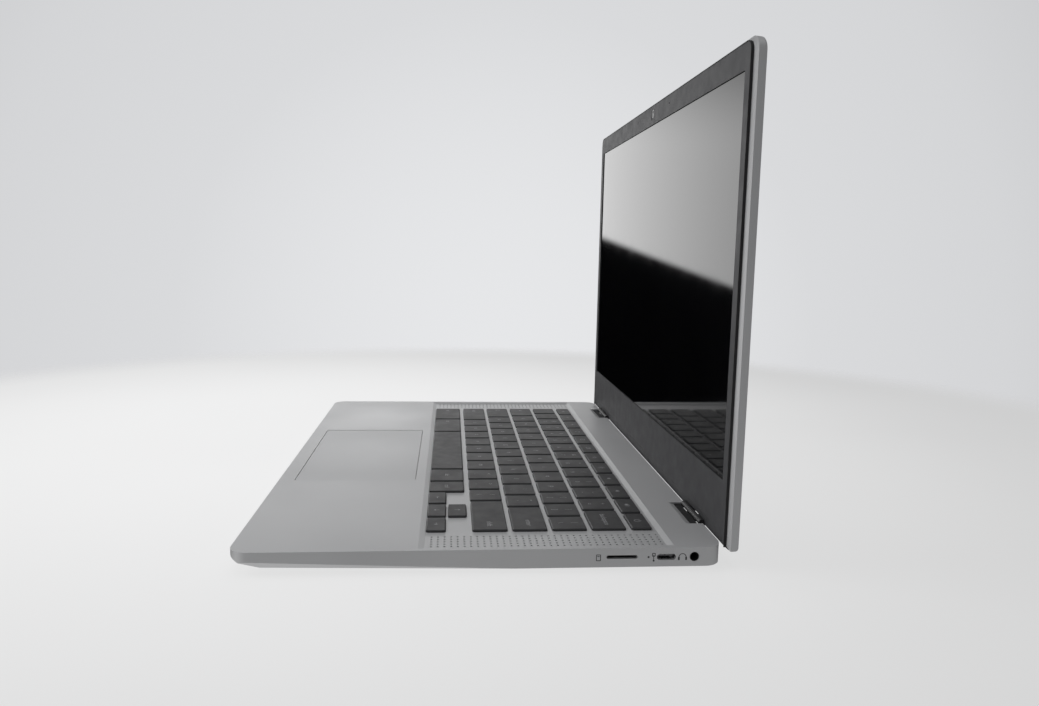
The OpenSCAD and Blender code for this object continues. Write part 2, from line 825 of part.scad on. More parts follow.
module camera_module() {
    color([0.05, 0.05, 0.06]) lid_place() translate([0, camera_v, 0]) {
        difference() {
            translate([0, 0, -2.4]) cylinder(r = lens_r, h = 2.1);
            translate([0, 0, -1]) cylinder(r1 = 0.9, r2 = 2.1, h = 1);
        }
        translate([0, 0, -2.4]) cylinder(r = 0.8, h = 1.7);
        translate([-4, -2.2, -lid_t + lid_skin + 0.1]) cube([8, 4.4, 3]);
    }
}

module lid_screws() {
    color([0.45, 0.45, 0.46]) both_sides() for (x = lid_screw_xs, z = lid_screw_vs)
        translate([hinge_x + x, arm_front_y, lid_bottom_z + z]) rotate([-90, 0, 0]) {
            cylinder(r = 0.8, h = arm_t);
            translate([0, 0, arm_t]) cylinder(r = 1.5, h = 0.7);
        }
}

// ---------- keys ----------

// One key that fills the X range from left to right
module key(left, right, y, d) {
    w = right - left;
    translate([(left + right) / 2, y, 0]) intersection() {
        translate([0, 0, key_z]) rounded_plate(w, d, key_corner, deck_z - key_z);
        translate([0, d, 0]) rotate([90, 0, 0]) linear_extrude(2 * d) key_section(w / 2);
        translate([-w, 0, 0]) rotate([90, 0, 90]) linear_extrude(2 * w) key_section(d / 2);
    }
}

// Section of a key with bevelled top edges
module key_section(half) {
    polygon([
        [-half, 0], [half, 0], [half, deck_z - key_edge], [half - key_edge, deck_z],
        [-half + key_edge, deck_z], [-half, deck_z - key_edge]
    ]);
}

// Places children() over one key, with its size in $key_w and $key_d
module key_place(left, right, y, d) {
    $key_w = right - left;
    $key_d = d;
    translate([(left + right) / 2, y]) children();
}

// X ranges of the keys of the front row
left_ctrl = [keys_left, keys_left + left_ctrl_w];
left_alt = [left_ctrl[1] + key_gap, left_ctrl[1] + key_gap + left_alt_w];
space = [left_alt[1] + key_gap, left_alt[1] + key_gap + space_w];
right_alt = [space[1] + key_gap, space[1] + key_gap + right_alt_w];
right_ctrl = [right_alt[1] + key_gap, right_alt[1] + key_gap + right_ctrl_w];
right_arrow = [keys_right - arrow_w, keys_right];
down_arrow = [right_arrow[0] - key_gap - arrow_w, right_arrow[0] - key_gap];
left_arrow = [down_arrow[0] - key_gap - arrow_w, down_arrow[0] - key_gap];
front_row = [left_ctrl, left_alt, space, right_alt, right_ctrl];
lower_arrows = [left_arrow, down_arrow, right_arrow];

// X ranges of the keys at the ends of the other rows
backspace = [keys_right - backspace_w, keys_right];
backslash = [keys_right - unit_w, keys_right];
enter = [keys_right - enter_w, keys_right];
right_shift = [keys_right - right_shift_w, keys_right];
accent = [keys_left, unit_right(backspace_w, number_units - 1) - key_pitch];
tab = [keys_left, unit_right(unit_w, upper_units - 1) - key_pitch];
search = [keys_left, unit_right(enter_w, home_units - 1) - key_pitch];
left_shift = [keys_left, unit_right(right_shift_w, lower_units - 1) - key_pitch];

// X ranges of the unit keys of a row
function units(end_w, count) =
    [for (k = [0:count - 1]) [unit_right(end_w, k) - unit_w, unit_right(end_w, k)]];
// X range of key k of the function row, from the left
function function_key(k) = [keys_left + k * function_pitch, keys_left + k * function_pitch + function_w];

number_row = units(backspace_w, number_units);
upper_row = units(unit_w, upper_units);
home_row = units(enter_w, home_units);
lower_row = units(right_shift_w, lower_units);

module row_places(row, y, d) {
    for (k = row) key_place(k[0], k[1], y, d) children();
}

module every_key_place() {
    row_places(concat([accent, backspace], number_row), row_y(3), key_d) children();
    row_places(concat([tab, backslash], upper_row), row_y(2), key_d) children();
    row_places(concat([search, enter], home_row), row_y(1), key_d) children();
    row_places(concat([left_shift, right_shift], lower_row), row_y(0), key_d) children();
    row_places(front_row, bottom_row_y, bottom_row_d) children();
    row_places(lower_arrows, lower_arrow_y, arrow_d) children();
    row_places([down_arrow], upper_arrow_y, arrow_d) children();
    row_places([for (k = [0:function_count - 1]) function_key(k)], function_y, function_d) children();
}

module keys(row, y, d) {
    color([0.25, 0.25, 0.26]) for (k = row) key(k[0], k[1], y, d);
}

top_case();
bottom_cover();
foot(-1, foot_rows[0]);  // foot_front_left
foot(1, foot_rows[0]);  // foot_front_right
foot(-1, foot_rows[1]);  // foot_rear_left
foot(1, foot_rows[1]);  // foot_rear_right
bottom_screws();
keyboard_plate();
trackpad();
trackpad_bracket();
battery();
mainboard();
mirror([1, 0, 0]) speaker();  // speaker_left
speaker();  // speaker_right
usb_c_port();
card_socket();
audio_jack();
status_led();
mirror([1, 0, 0]) hinge_well();  // hinge_well_left
hinge_well();  // hinge_well_right
mirror([1, 0, 0]) hinge_bracket();  // hinge_bracket_left
hinge_bracket();  // hinge_bracket_right
hinge_screws();
lid_cover();
display_panel();
bezel();
lid_gasket();
camera_module();
mirror([1, 0, 0]) lid_arm();  // lid_arm_left
lid_arm();  // lid_arm_right
mirror([1, 0, 0]) hinge_pin();  // hinge_pin_left
hinge_pin();  // hinge_pin_right
lid_screws();
keys([function_key(0)], function_y, function_d);  // escape_key
keys([for (k = [1:function_count - 2]) function_key(k)], function_y, function_d);  // function_keys
keys([function_key(function_count - 1)], function_y, function_d);  // power_key
keys(concat([accent], number_row), row_y(3), key_d);  // number_keys
keys([backspace], row_y(3), key_d);  // backspace_key
keys([tab], row_y(2), key_d);  // tab_key
keys(concat([backslash], upper_row), row_y(2), key_d);  // upper_letter_keys
keys([search], row_y(1), key_d);  // search_key
keys(home_row, row_y(1), key_d);  // home_letter_keys
keys([enter], row_y(1), key_d);  // enter_key
keys([left_shift], row_y(0), key_d);  // left_shift_key
keys(lower_row, row_y(0), key_d);  // lower_letter_keys
keys([right_shift], row_y(0), key_d);  // right_shift_key
keys([left_ctrl], bottom_row_y, bottom_row_d);  // left_ctrl_key
keys([left_alt], bottom_row_y, bottom_row_d);  // left_alt_key
keys([space], bottom_row_y, bottom_row_d);  // space_key
keys([right_alt], bottom_row_y, bottom_row_d);  // right_alt_key
keys([right_ctrl], bottom_row_y, bottom_row_d);  // right_ctrl_key
keys([left_arrow], lower_arrow_y, arrow_d);  // left_arrow_key
keys([down_arrow], lower_arrow_y, arrow_d);  // down_arrow_key
keys([down_arrow], upper_arrow_y, arrow_d);  // up_arrow_key
keys([right_arrow], lower_arrow_y, arrow_d);  // right_arrow_key
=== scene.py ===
import json
import math

import bmesh
import bpy
from mathutils import Euler, Matrix, Vector


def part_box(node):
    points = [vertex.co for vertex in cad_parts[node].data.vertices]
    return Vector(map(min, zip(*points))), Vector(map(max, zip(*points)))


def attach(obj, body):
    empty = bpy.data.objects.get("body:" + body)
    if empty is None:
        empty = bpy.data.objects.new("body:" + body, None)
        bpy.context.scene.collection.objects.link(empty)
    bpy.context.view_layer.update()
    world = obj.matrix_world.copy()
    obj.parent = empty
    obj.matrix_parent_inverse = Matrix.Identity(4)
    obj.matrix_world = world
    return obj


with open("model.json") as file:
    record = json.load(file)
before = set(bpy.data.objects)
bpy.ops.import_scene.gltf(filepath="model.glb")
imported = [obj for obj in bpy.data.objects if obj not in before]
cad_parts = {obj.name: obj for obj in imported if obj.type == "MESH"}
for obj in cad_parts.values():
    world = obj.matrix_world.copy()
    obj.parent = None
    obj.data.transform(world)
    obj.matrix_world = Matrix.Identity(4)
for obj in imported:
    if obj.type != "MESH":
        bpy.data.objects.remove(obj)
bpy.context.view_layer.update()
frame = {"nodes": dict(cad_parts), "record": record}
nodes = frame["nodes"]

MM = 0.001
INK_T = 0.02 * MM
DECK_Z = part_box("enter_key")[1].z
WALL_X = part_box("top_case")[1].x
KEY_GAP = 2.35 * MM

# How much of the blasted aluminium is bare metal, and how much smoother its handled spots are
METAL_SHARE = 0.3
POLISH = 0.05


# ---------- material helpers ----------

def add_node(tree, kind, **values):
    """A shader node with its plain properties or its input sockets set by name."""
    made = tree.nodes.new(kind)
    for key, value in values.items():
        if hasattr(made, key):
            setattr(made, key, value)
        else:
            made.inputs[key.replace("_", " ")].default_value = value
    return made


def new_material(name):
    made = bpy.data.materials.new(name)
    made.use_nodes = True
    tree = made.node_tree
    shader = tree.nodes["Principled BSDF"]
    place = tree.nodes.new("ShaderNodeTexCoord")
    return made, tree, shader, place.outputs["Object"]


def noise(tree, where, scale, detail=2.0, stretch=None):
    """Noise in metres; stretch multiplies the scale along X, Y and Z."""
    if stretch:
        turned = tree.nodes.new("ShaderNodeMapping")
        turned.inputs["Scale"].default_value = stretch
        tree.links.new(where, turned.inputs["Vector"])
        where = turned.outputs["Vector"]
    made = add_node(tree, "ShaderNodeTexNoise", Scale=scale, Detail=detail)
    tree.links.new(where, made.inputs["Vector"])
    return made.outputs["Fac"]


def spread(tree, value, low, high, start=0.3, end=0.7):
    """Maps a value that runs from start to end onto low to high."""
    made = tree.nodes.new("ShaderNodeMapRange")
    made.inputs["From Min"].default_value = start
    made.inputs["From Max"].default_value = end
    made.inputs["To Min"].default_value = low
    made.inputs["To Max"].default_value = high
    tree.links.new(value, made.inputs["Value"])
    return made.outputs["Result"]


def blend_colours(tree, factor, first, second):
    made = tree.nodes.new("ShaderNodeMix")
    made.data_type = "RGBA"
    tree.links.new(factor, made.inputs["Factor"])
    for socket, colour in ((made.inputs[6], first), (made.inputs[7], second)):
        if hasattr(colour, "is_linked"):
            tree.links.new(colour, socket)
        else:
            socket.default_value = (*colour, 1.0)
    return made.outputs[2]


def relief(tree, shader, height, strength, depth):
    made = tree.nodes.new("ShaderNodeBump")
    made.inputs["Strength"].default_value = strength
    made.inputs["Distance"].default_value = depth
    tree.links.new(height, made.inputs["Height"])
    tree.links.new(made.outputs["Normal"], shader.inputs["Normal"])


def plain_finish(name, dark, light, rough, metallic=0.0, patch=40.0, grain=4000.0,
                 strength=0.3, depth=0.02 * MM, stretch=None, ior=1.5):
    """Colour drifts from dark to light in soft patches, roughness drifts too, and a fine grain
    stands on the surface. rough is (least, most)."""
    made, tree, shader, where = new_material(name)
    shader.inputs["Metallic"].default_value = metallic
    shader.inputs["IOR"].default_value = ior
    drift = spread(tree, noise(tree, where, patch, 3.0, stretch), 0.0, 1.0)
    tree.links.new(blend_colours(tree, drift, dark, light), shader.inputs["Base Color"])
    worn = noise(tree, where, patch * 2.3, 4.0, stretch)
    tree.links.new(spread(tree, worn, rough[0], rough[1]), shader.inputs["Roughness"])
    relief(tree, shader, noise(tree, where, grain, 2.0, stretch), strength, depth)
    return made


def smudged_metal(name, dark, light, rough, spots, grain):
    """Blasted aluminium with polished smudges round the given spots, each (centre, reach)."""
    made, tree, shader, where = new_material(name)
    shader.inputs["Metallic"].default_value = METAL_SHARE
    drift = spread(tree, noise(tree, where, 11.0, 3.0), 0.0, 1.0)
    fine = spread(tree, noise(tree, where, grain * 0.5, 1.0), 0.0, 0.35, 0.35, 0.65)
    mottled = blend_colours(tree, fine, dark, light)
    tree.links.new(blend_colours(tree, drift, mottled, light), shader.inputs["Base Color"])
    value = spread(tree, noise(tree, where, 25.0, 4.0), rough[0], rough[1])
    for centre, reach in spots:
        away = tree.nodes.new("ShaderNodeVectorMath")
        away.operation = "DISTANCE"
        away.inputs[1].default_value = centre
        tree.links.new(where, away.inputs[0])
        polish = spread(tree, away.outputs["Value"], -POLISH, 0.0, 0.2 * reach, reach)
        total = tree.nodes.new("ShaderNodeMath")
        total.operation = "ADD"
        tree.links.new(value, total.inputs[0])
        tree.links.new(polish, total.inputs[1])
        value = total.outputs["Value"]
    tree.links.new(value, shader.inputs["Roughness"])
    relief(tree, shader, noise(tree, where, grain, 2.0), 0.25, 0.006 * MM)
    return made


def board_finish(name):
    """Green lacquer over fine copper lines, with small pale pads."""
    made, tree, shader, where = new_material(name)
    shader.inputs["IOR"].default_value = 1.5
    lines = add_node(tree, "ShaderNodeTexWave", Scale=260.0, Distortion=6.0, Detail=2.0)
    tree.links.new(where, lines.inputs["Vector"])
    copper = spread(tree, lines.outputs["Fac"], 0.0, 1.0, 0.72, 0.8)
    lacquer = blend_colours(tree, copper, (0.015, 0.09, 0.045), (0.05, 0.19, 0.09))
    dots = add_node(tree, "ShaderNodeTexVoronoi", Scale=420.0)
    tree.links.new(where, dots.inputs["Vector"])
    pads = spread(tree, dots.outputs["Distance"], 1.0, 0.0, 0.1, 0.16)
    tree.links.new(blend_colours(tree, pads, lacquer, (0.55, 0.5, 0.4)), shader.inputs["Base Color"])
    gloss = spread(tree, noise(tree, where, 90.0, 3.0), 0.28, 0.45)
    tree.links.new(gloss, shader.inputs["Roughness"])
    relief(tree, shader, lines.outputs["Fac"], 0.3, 0.03 * MM)
    return made


# ---------- materials, one for each slot of the record ----------

PALM_SPOTS = [((-0.095, -0.07, DECK_Z), 0.05), ((0.1, -0.072, DECK_Z), 0.055)]
PAD_SPOTS = [((0.0, -0.066, DECK_Z), 0.045)]

finishes = {
    "case_metal": smudged_metal("case_metal", (0.54, 0.543, 0.55), (0.6, 0.602, 0.606),
                                (0.34, 0.4), PALM_SPOTS, 9000.0),
    "cover_metal": smudged_metal("cover_metal", (0.46, 0.465, 0.475), (0.52, 0.523, 0.53),
                                 (0.4, 0.47), [], 8000.0),
    "touch_surface": smudged_metal("touch_surface", (0.545, 0.55, 0.555), (0.59, 0.593, 0.598),
                                   (0.37, 0.41), PAD_SPOTS, 12000.0),
    "soft_rubber": plain_finish("soft_rubber", (0.012, 0.012, 0.013), (0.02, 0.02, 0.021),
                                (0.7, 0.85), grain=3500.0, strength=0.5),
    "key_plastic": plain_finish("key_plastic", (0.034, 0.034, 0.036), (0.042, 0.042, 0.044),
                                (0.4, 0.5), patch=70.0, grain=7000.0, strength=0.3, depth=0.01 * MM),
    "bezel_plastic": plain_finish("bezel_plastic", (0.045, 0.045, 0.048), (0.056, 0.056, 0.059),
                                  (0.5, 0.6), patch=60.0, grain=5000.0, strength=0.3, ior=1.4),
    "screen_glass": plain_finish("screen_glass", (0.002, 0.002, 0.0025), (0.003, 0.003, 0.0035),
                                 (0.04, 0.06), patch=25.0, grain=900.0, strength=0.05,
                                 depth=0.002 * MM),
    "lens_glass": plain_finish("lens_glass", (0.004, 0.004, 0.006), (0.008, 0.008, 0.011),
                               (0.06, 0.12), patch=200.0, grain=2000.0, strength=0.05),
    "hinge_steel": plain_finish("hinge_steel", (0.016, 0.016, 0.017), (0.028, 0.028, 0.029),
                                (0.38, 0.5), patch=120.0, grain=6000.0, strength=0.3),
    "bright_steel": plain_finish("bright_steel", (0.5, 0.5, 0.51), (0.6, 0.6, 0.61), (0.22, 0.36),
                                 1.0, 200.0, 5000.0, 0.3, 0.01 * MM, (1.0, 1.0, 0.1)),
    "inner_steel": plain_finish("inner_steel", (0.38, 0.38, 0.39), (0.47, 0.47, 0.48), (0.3, 0.45),
                                1.0, 60.0, 3000.0, 0.4, 0.02 * MM, (0.08, 1.0, 1.0)),
    "black_plastic": plain_finish("black_plastic", (0.014, 0.014, 0.015), (0.024, 0.024, 0.025),
                                  (0.45, 0.6), grain=4500.0, strength=0.4),
    "battery_wrap": plain_finish("battery_wrap", (0.02, 0.02, 0.022), (0.04, 0.04, 0.043),
                                 (0.3, 0.5), patch=30.0, grain=600.0, strength=0.5, depth=0.1 * MM),
    "circuit_board": board_finish("circuit_board"),
    "light_lens": plain_finish("light_lens", (0.05, 0.05, 0.05), (0.09, 0.09, 0.088), (0.2, 0.35),
                               patch=300.0, grain=4000.0),
}
ink = plain_finish("key_ink", (0.3, 0.3, 0.305), (0.38, 0.38, 0.385), (0.5, 0.6), patch=150.0)
wall_ink = plain_finish("wall_ink", (0.028, 0.028, 0.03), (0.04, 0.04, 0.042), (0.5, 0.6), patch=150.0)

slot_of = {part["node"]: part["material_slot"] for part in frame["record"]["subparts"]}
for name, shape in nodes.items():
    shape.data.materials.clear()
    shape.data.materials.append(finishes[slot_of[name]])


# ---------- flat marks: prisms standing on a plane, drawn in millimetres ----------

class Marks:
    """Collects flat shapes and lettering for one piece."""

    def __init__(self):
        self.mesh = bmesh.new()

    def fill(self, points):
        """A closed prism over a convex outline."""
        rings = []
        for height in (-INK_T / 2, INK_T / 2):
            rings.append([self.mesh.verts.new((x * MM, y * MM, height)) for x, y in points])
        below, above = rings
        self.mesh.faces.new(list(reversed(below)))
        self.mesh.faces.new(above)
        count = len(points)
        for i in range(count):
            j = (i + 1) % count
            self.mesh.faces.new((below[i], below[j], above[j], above[i]))

    def bar(self, start, end, width):
        along = Vector((end[0] - start[0], end[1] - start[1])).normalized()
        side = Vector((-along.y, along.x)) * width / 2
        self.fill([(start[0] - side.x, start[1] - side.y), (end[0] - side.x, end[1] - side.y),
                   (end[0] + side.x, end[1] + side.y), (start[0] + side.x, start[1] + side.y)])

    def arc(self, centre, radius, first, last, width, steps=20):
        """Part of a ring, from angle first to angle last in degrees."""
        inner = radius - width / 2
        outer = radius + width / 2
        for i in range(steps):
            a = math.radians(first + (last - first) * i / steps)
            b = math.radians(first + (last - first) * (i + 1) / steps)
            corners = [(inner, a), (outer, a), (outer, b), (inner, b)]
            self.fill([(centre[0] + r * math.cos(t), centre[1] + r * math.sin(t)) for r, t in corners])

    def frame(self, low, high, width):
        """The outline of a rectangle."""
        corners = [low, (high[0], low[1]), high, (low[0], high[1])]
        for i in range(4):
            self.bar(corners[i], corners[(i + 1) % 4], width)

    def disc(self, centre, radius, steps=24):
        turn = 2 * math.pi / steps
        self.fill([(centre[0] + radius * math.cos(turn * i), centre[1] + radius * math.sin(turn * i))
                   for i in range(steps)])

    def word(self, text, x, y, size, align="CENTER"):
        """Lettering with its middle height at y; x is its middle, left or right end."""
        curve = bpy.data.curves.new("lettering", "FONT")
        curve.body = text
        curve.size = size * MM
        curve.align_x = align
        curve.align_y = "CENTER"
        curve.extrude = INK_T / 2
        curve.resolution_u = 3
        holder = bpy.data.objects.new("lettering", curve)
        bpy.context.scene.collection.objects.link(holder)
        bpy.context.view_layer.update()
        flat = bpy.data.meshes.new_from_object(holder.evaluated_get(bpy.context.evaluated_depsgraph_get()))
        flat.transform(Matrix.Translation((x * MM, y * MM, 0)))
        self.mesh.from_mesh(flat)
        bpy.data.objects.remove(holder)
        bpy.data.meshes.remove(flat)

    def make(self, name, body, material, place):
        made = bpy.data.meshes.new(name)
        self.mesh.to_mesh(made)
        self.mesh.free()
        made.transform(place)
        made.materials.append(material)
        piece = bpy.data.objects.new(name, made)
        bpy.context.scene.collection.objects.link(piece)
        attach(piece, body)


ON_DECK = Matrix.Translation((0, 0, DECK_Z))
ON_WALL = Matrix(((0, 0, 1, WALL_X), (1, 0, 0, 0), (0, 1, 0, 0), (0, 0, 0, 1)))
LETTER = 4.5
SMALL = 3.7
STROKE = 0.32
PAIR_OFFSET = 3.4
FUNCTION_ARROW = 3.4
CURSOR_ARROW = 2.6
ARROW_HEAD = 0.35


def key_centres(node, count):
    """Middles of the equal keys of a row, left to right, in millimetres."""
    low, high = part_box(node)
    pitch = (high.x - low.x + KEY_GAP) / count
    width = pitch - KEY_GAP
    middle_y = (low.y + high.y) / 2
    return [((low.x + pitch * k + width / 2) / MM, middle_y / MM) for k in range(count)]


def key_row(node, legends):
    marks = Marks()
    for (x, y), legend in zip(key_centres(node, len(legends)), legends):
        if len(legend) == 1:
            marks.word(legend, x, y, LETTER)
        else:
            marks.word(legend[1], x, y + PAIR_OFFSET, SMALL)
            marks.word(legend[0], x, y - PAIR_OFFSET, SMALL)
    marks.make(node + "_legend", node, ink, ON_DECK)


key_row("number_keys", ["`~", "1!", "2@", "3#", "4$", "5%", "6^", "7&", "8*", "9(", "0)", "-_", "=+"])
key_row("upper_letter_keys", list("qwertyuiop") + ["[{", "]}", "\\|"])
key_row("home_letter_keys", list("asdfghjkl") + [";:", "'\""])
key_row("lower_letter_keys", list("zxcvbnm") + [",<", ".>", "/?"])

# Wide keys: word, alignment, distance of the word's end from the key's edge
EDGE = 4.8
WIDE_WORDS = {
    "backspace_key": ("backspace", "CENTER", 0.0),
    "tab_key": ("tab", "LEFT", EDGE),
    "enter_key": ("enter", "RIGHT", EDGE),
    "left_shift_key": ("shift", "LEFT", EDGE),
    "right_shift_key": ("shift", "RIGHT", EDGE),
    "left_ctrl_key": ("ctrl", "LEFT", EDGE),
    "left_alt_key": ("alt", "LEFT", EDGE),
    "right_alt_key": ("alt", "CENTER", 0.0),
    "right_ctrl_key": ("ctrl", "CENTER", 0.0),
}
for node, (word, align, inset) in WIDE_WORDS.items():
    low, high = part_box(node)
    ends = {"CENTER": (low.x + high.x) / 2, "LEFT": low.x, "RIGHT": high.x}
    shift = {"CENTER": 0.0, "LEFT": inset, "RIGHT": -inset}
    marks = Marks()
    marks.word(word, ends[align] / MM + shift[align], (low.y + high.y) / 2 / MM, SMALL, align)
    marks.make(node + "_legend", node, ink, ON_DECK)


def key_middle(node):
    low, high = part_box(node)
    return (low.x + high.x) / 2 / MM, (low.y + high.y) / 2 / MM


def arrow(marks, x, y, way, length):
    """A straight arrow that points along way, with its middle at x, y."""
    side = (-way[1], way[0])
    tip = (x + way[0] * length / 2, y + way[1] * length / 2)
    marks.bar((x - way[0] * length / 2, y - way[1] * length / 2), tip, STROKE)
    head = length * ARROW_HEAD
    for s in (-1, 1):
        back = (tip[0] - way[0] * head + s * side[0] * head,
                tip[1] - way[1] * head + s * side[1] * head)
        marks.bar(back, tip, STROKE)


def one_mark(node, draw):
    x, y = key_middle(node)
    marks = Marks()
    draw(marks, x, y)
    marks.make(node + "_legend", node, ink, ON_DECK)


def search_sign(marks, x, y):
    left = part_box("search_key")[0].x / MM + EDGE + 1.6
    marks.arc((left, y + 0.4), 1.3, 0, 360, STROKE)
    marks.bar((left + 0.95, y - 0.55), (left + 1.9, y - 1.5), STROKE)


def power_sign(marks, x, y):
    marks.arc((x, y), 1.5, 120, 420, STROKE)
    marks.bar((x, y + 0.3), (x, y + 2.0), STROKE)


def speaker_sign(marks, x, y, waves):
    marks.fill([(x - 1.8, y - 0.6), (x - 1.0, y - 0.6), (x - 1.0, y + 0.6), (x - 1.8, y + 0.6)])
    marks.fill([(x - 1.0, y - 0.6), (x, y - 1.4), (x, y + 1.4), (x - 1.0, y + 0.6)])
    for k in range(waves):
        marks.arc((x - 0.2, y), 1.0 + 0.8 * k, -45, 45, STROKE, 8)


def sun_sign(marks, x, y, reach):
    marks.arc((x, y), 0.75, 0, 360, STROKE, 16)
    for k in range(8):
        turn = math.radians(45 * k)
        way = (math.cos(turn), math.sin(turn))
        marks.bar((x + way[0] * 1.2, y + way[1] * 1.2), (x + way[0] * reach, y + way[1] * reach), STROKE)


def reload_sign(marks, x, y):
    marks.arc((x, y), 1.4, 40, 330, STROKE)
    marks.fill([(x + 0.5, y + 0.7), (x + 1.9, y + 0.7), (x + 1.5, y + 2.0)])


def full_sign(marks, x, y):
    marks.frame((x - 1.9, y - 1.3), (x + 1.9, y + 1.3), STROKE)
    marks.bar((x - 0.9, y - 0.5), (x + 0.9, y + 0.5), STROKE)


def windows_sign(marks, x, y):
    marks.frame((x - 1.9, y - 1.2), (x + 0.9, y + 1.2), STROKE)
    marks.bar((x + 1.5, y - 1.2), (x + 1.5, y + 1.2), STROKE)
    marks.bar((x + 2.1, y - 1.2), (x + 2.1, y + 1.2), STROKE)


def function_signs():
    """The ten signs of the function keys, left to right."""
    marks = Marks()
    spots = key_centres("function_keys", 10)
    arrow(marks, *spots[0], (-1, 0), FUNCTION_ARROW)
    arrow(marks, *spots[1], (1, 0), FUNCTION_ARROW)
    reload_sign(marks, *spots[2])
    full_sign(marks, *spots[3])
    windows_sign(marks, *spots[4])
    sun_sign(marks, *spots[5], 1.6)
    sun_sign(marks, *spots[6], 2.1)
    speaker_sign(marks, *spots[7], 0)
    speaker_sign(marks, *spots[8], 1)
    speaker_sign(marks, *spots[9], 2)
    marks.make("function_keys_legend", "function_keys", ink, ON_DECK)


function_signs()
one_mark("escape_key", lambda marks, x, y: marks.word("esc", x, y, SMALL))
one_mark("power_key", power_sign)
one_mark("search_key", search_sign)
ARROWS = {"left_arrow_key": (-1, 0), "right_arrow_key": (1, 0), "up_arrow_key": (0, 1),
          "down_arrow_key": (0, -1)}
for node, way in ARROWS.items():
    one_mark(node, lambda marks, x, y: arrow(marks, x, y, way, CURSOR_ARROW))


# ---------- signs beside the ports ----------

PORT_Z = 5.6
CARD_SIGN_Y = 46.8
PLUG_SIGN_Y = 71.0
HEAD_SIGN_Y = 83.7


def port_signs():
    """A card, a plug and a headset, each drawn along the wall in millimetres."""
    marks = Marks()
    card = CARD_SIGN_Y
    marks.frame((card - 0.9, PORT_Z - 1.3), (card + 0.9, PORT_Z + 1.3), STROKE)
    marks.bar((card - 0.5, PORT_Z + 0.6), (card + 0.5, PORT_Z + 0.6), STROKE)
    plug = PLUG_SIGN_Y
    marks.bar((plug, PORT_Z - 1.8), (plug, PORT_Z + 1.0), STROKE)
    marks.frame((plug - 0.6, PORT_Z + 0.4), (plug + 0.6, PORT_Z + 1.7), STROKE)
    marks.disc((plug, PORT_Z - 1.6), 0.42)
    head = HEAD_SIGN_Y
    marks.arc((head, PORT_Z - 0.2), 1.6, 0, 180, STROKE)
    for side in (-1, 1):
        marks.bar((head + side * 1.6, PORT_Z - 1.5), (head + side * 1.6, PORT_Z), 0.75)
    marks.make("port_signs", "base", wall_ink, ON_WALL)


port_signs()


# ---------- camera lens and port contacts ----------

def ring_piece(name, body, material, profile, place, steps=32):
    """A solid of revolution about its own Z; profile is (radius, height) in millimetres."""
    mesh = bmesh.new()
    rings = []
    for radius, height in profile:
        if radius == 0:
            rings.append([mesh.verts.new((0, 0, height * MM))])
            continue
        turn = 2 * math.pi / steps
        rings.append([mesh.verts.new((radius * MM * math.cos(turn * i), radius * MM * math.sin(turn * i),
                                      height * MM)) for i in range(steps)])
    for lower, upper in zip(rings, rings[1:]):
        for i in range(steps):
            j = (i + 1) % steps
            corners = [lower[i % len(lower)], lower[j % len(lower)],
                       upper[j % len(upper)], upper[i % len(upper)]]
            mesh.faces.new(list(dict.fromkeys(corners)))
    bmesh.ops.recalc_face_normals(mesh, faces=mesh.faces)
    made = bpy.data.meshes.new(name)
    mesh.to_mesh(made)
    mesh.free()
    for face in made.polygons:
        face.use_smooth = True
    made.transform(place)
    made.materials.append(material)
    piece = bpy.data.objects.new(name, made)
    bpy.context.scene.collection.objects.link(piece)
    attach(piece, body)


camera_low, camera_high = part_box("camera_module")
FACE_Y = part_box("bezel")[0].y
CAMERA_Z = (camera_low.z + camera_high.z) / 2
FACING_FRONT = Euler((math.radians(90), 0, 0)).to_matrix().to_4x4()
ON_BEZEL = Matrix.Translation((0, FACE_Y, CAMERA_Z)) @ FACING_FRONT
LENS = [(0.0, -1.2), (1.5, -1.2), (1.9, -0.9), (1.9, -0.55), (1.3, -0.35), (0.7, -0.26), (0.0, -0.22)]
ring_piece("camera_lens", "lid", finishes["lens_glass"], LENS, ON_BEZEL)


CONTACTS = 12
CONTACT_PITCH = 0.5
CONTACT_W = 0.22
CONTACT_LEN = 3.8
CONTACT_SET_BACK = 1.8
TONGUE_FACE = 0.36


def contact_rows():
    """Thin contact strips on the upper face of the charging port's tongue."""
    marks = Marks()
    usb_low, usb_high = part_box("usb_c_port")
    middle_y = (usb_low.y + usb_high.y) / 2 / MM
    outer = usb_high.x / MM - CONTACT_SET_BACK
    for k in range(CONTACTS):
        y = middle_y + (k - (CONTACTS - 1) / 2) * CONTACT_PITCH
        marks.bar((outer - CONTACT_LEN, y), (outer, y), CONTACT_W)
    marks.make("port_contacts", "base", finishes["bright_steel"],
               Matrix.Translation((0, 0, (PORT_Z + TONGUE_FACE) * MM)))


contact_rows()

# ---------- camera ----------

eye = bpy.data.cameras.new("view_camera")
eye.lens = 27.863
eye.sensor_width = 36.0
eye.sensor_fit = "HORIZONTAL"
eye.dof.use_dof = False
viewer = bpy.data.objects.new("view_camera", eye)
viewer.location = (0.48926, -0.01762, 0.13775)
viewer.rotation_euler = [math.radians(a) for a in (82.4125, -1.1474, 85.1507)]
bpy.context.scene.collection.objects.link(viewer)
bpy.context.scene.camera = viewer

# ---------- floor, background and lights ----------

FLOOR_R = 0.8
FADE_FROM = 0.5
FADE_TO = 0.62
FLOOR_GLOW = 0.73
EDGE_GLOW = 0.5
GLOW_CENTRE = (-0.1, -0.14, 0.0)
GLOW_FROM = 0.1
GLOW_TO = 0.65
FLOOR_SIDES = 96


